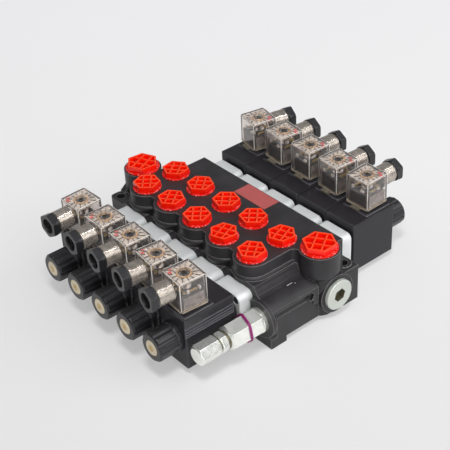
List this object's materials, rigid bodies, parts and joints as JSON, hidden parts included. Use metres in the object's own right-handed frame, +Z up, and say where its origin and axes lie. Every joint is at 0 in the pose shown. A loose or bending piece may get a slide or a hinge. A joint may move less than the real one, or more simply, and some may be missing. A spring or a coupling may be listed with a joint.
{
  "type": "hydraulic directional control valve",
  "caption": "Monoblock hydraulic directional control valve with solenoid coils and plug-on connectors on both sides, capped ports and a relief valve.",
  "frame": {"origin": "centre of the mounting plane under the casting, half way between the machined end faces", "axes": "+X along the row of sections towards the relief valve, +Y along the spools towards the back coils, +Z up from the mounting plane towards the ports"},
  "size_m": [0.254, 0.2993, 0.0928],
  "materials": {
    "painted_casting": "satin",
    "red_plastic": "satin",
    "cast_aluminium": "matte",
    "black_steel": "satin",
    "black_rubber": "matte",
    "nickel_steel": "satin",
    "black_plastic": "satin",
    "coil_plastic": "matte",
    "clear_plastic": "gloss",
    "dark_plastic": "satin",
    "beige_rubber": "matte",
    "zinc_steel": "satin",
    "bare_steel": "polished",
    "armature_steel": "satin",
    "spring_steel": "satin",
    "purple_plastic": "satin"
  },
  "bodies": {
    "valve": {"valve_body": "painted_casting", "port_caps_a": "red_plastic", "port_caps_b": "red_plastic", "p_port_cap": "red_plastic", "t_port_cap": "red_plastic", "end_flanges_front": "cast_aluminium", "end_flanges_back": "cast_aluminium", "flange_screws": "black_steel", "flange_seals": "black_rubber", "core_tubes_front": "nickel_steel", "core_tubes_back": "nickel_steel", "coil_nuts_front": "black_plastic", "coil_nuts_back": "black_plastic", "connectors_front": "clear_plastic", "connectors_back": "clear_plastic", "gland_nuts_front": "black_plastic", "gland_nuts_back": "black_plastic", "gland_seals": "black_rubber", "terminal_blocks": "dark_plastic", "connector_gaskets": "beige_rubber", "connector_screws": "zinc_steel", "centring_springs_front": "spring_steel", "centring_springs_back": "spring_steel", "relief_body": "zinc_steel", "relief_lock_nut": "zinc_steel", "relief_cap_nut": "zinc_steel", "relief_spring": "spring_steel", "tamper_band": "purple_plastic", "gallery_plug": "zinc_steel", "load_check_springs": "spring_steel", "load_check_plugs": "black_steel", "coil_front_1": "coil_plastic", "coil_front_2": "coil_plastic", "coil_front_3": "coil_plastic", "coil_front_4": "coil_plastic", "coil_front_5": "coil_plastic", "coil_back_1": "coil_plastic", "coil_back_2": "coil_plastic", "coil_back_3": "coil_plastic", "coil_back_4": "coil_plastic", "coil_back_5": "coil_plastic"},
    "spool_1": {"spool_1": "bare_steel", "armatures_1": "armature_steel"},
    "spool_2": {"spool_2": "bare_steel", "armatures_2": "armature_steel"},
    "spool_3": {"spool_3": "bare_steel", "armatures_3": "armature_steel"},
    "spool_4": {"spool_4": "bare_steel", "armatures_4": "armature_steel"},
    "spool_5": {"spool_5": "bare_steel", "armatures_5": "armature_steel"},
    "load_check_poppet_1": {"load_check_poppet_1": "bare_steel"},
    "load_check_poppet_2": {"load_check_poppet_2": "bare_steel"},
    "load_check_poppet_3": {"load_check_poppet_3": "bare_steel"},
    "load_check_poppet_4": {"load_check_poppet_4": "bare_steel"},
    "load_check_poppet_5": {"load_check_poppet_5": "bare_steel"},
    "relief_poppet": {"relief_poppet": "bare_steel"},
    "relief_adjusting_screw": {"relief_adjusting_screw": "bare_steel"}
  },
  "joints": [
    {"name": "spool_1_shift", "type": "slide", "parent": "valve", "child": "spool_1", "axis": [0, 1, 0], "range_m": [-0.005, 0.005], "stiffness_N_per_m": 3000},
    {"name": "spool_2_shift", "type": "slide", "parent": "valve", "child": "spool_2", "axis": [0, 1, 0], "range_m": [-0.005, 0.005], "stiffness_N_per_m": 3000},
    {"name": "spool_3_shift", "type": "slide", "parent": "valve", "child": "spool_3", "axis": [0, 1, 0], "range_m": [-0.005, 0.005], "stiffness_N_per_m": 3000},
    {"name": "spool_4_shift", "type": "slide", "parent": "valve", "child": "spool_4", "axis": [0, 1, 0], "range_m": [-0.005, 0.005], "stiffness_N_per_m": 3000},
    {"name": "spool_5_shift", "type": "slide", "parent": "valve", "child": "spool_5", "axis": [0, 1, 0], "range_m": [-0.005, 0.005], "stiffness_N_per_m": 3000},
    {"name": "load_check_1_lift", "type": "slide", "parent": "valve", "child": "load_check_poppet_1", "axis": [0, 0, -1], "range_m": [0, 0.003], "stiffness_N_per_m": 400, "springref_m": -0.002, "deforming": ["load_check_springs"]},
    {"name": "load_check_2_lift", "type": "slide", "parent": "valve", "child": "load_check_poppet_2", "axis": [0, 0, -1], "range_m": [0, 0.003], "stiffness_N_per_m": 400, "springref_m": -0.002, "deforming": ["load_check_springs"]},
    {"name": "load_check_3_lift", "type": "slide", "parent": "valve", "child": "load_check_poppet_3", "axis": [0, 0, -1], "range_m": [0, 0.003], "stiffness_N_per_m": 400, "springref_m": -0.002, "deforming": ["load_check_springs"]},
    {"name": "load_check_4_lift", "type": "slide", "parent": "valve", "child": "load_check_poppet_4", "axis": [0, 0, -1], "range_m": [0, 0.003], "stiffness_N_per_m": 400, "springref_m": -0.002, "deforming": ["load_check_springs"]},
    {"name": "load_check_5_lift", "type": "slide", "parent": "valve", "child": "load_check_poppet_5", "axis": [0, 0, -1], "range_m": [0, 0.003], "stiffness_N_per_m": 400, "springref_m": -0.002, "deforming": ["load_check_springs"]},
    {"name": "relief_lift", "type": "slide", "parent": "valve", "child": "relief_poppet", "axis": [0, -1, 0], "range_m": [0, 0.002], "stiffness_N_per_m": 30000, "springref_m": -0.002, "deforming": ["relief_spring"]},
    {"name": "relief_adjust", "type": "hinge", "parent": "valve", "child": "relief_adjusting_screw", "pos_m": [0.107, -0.09, 0.0306], "axis": [0, -1, 0], "range_deg": [-180, 180]}
  ]
}
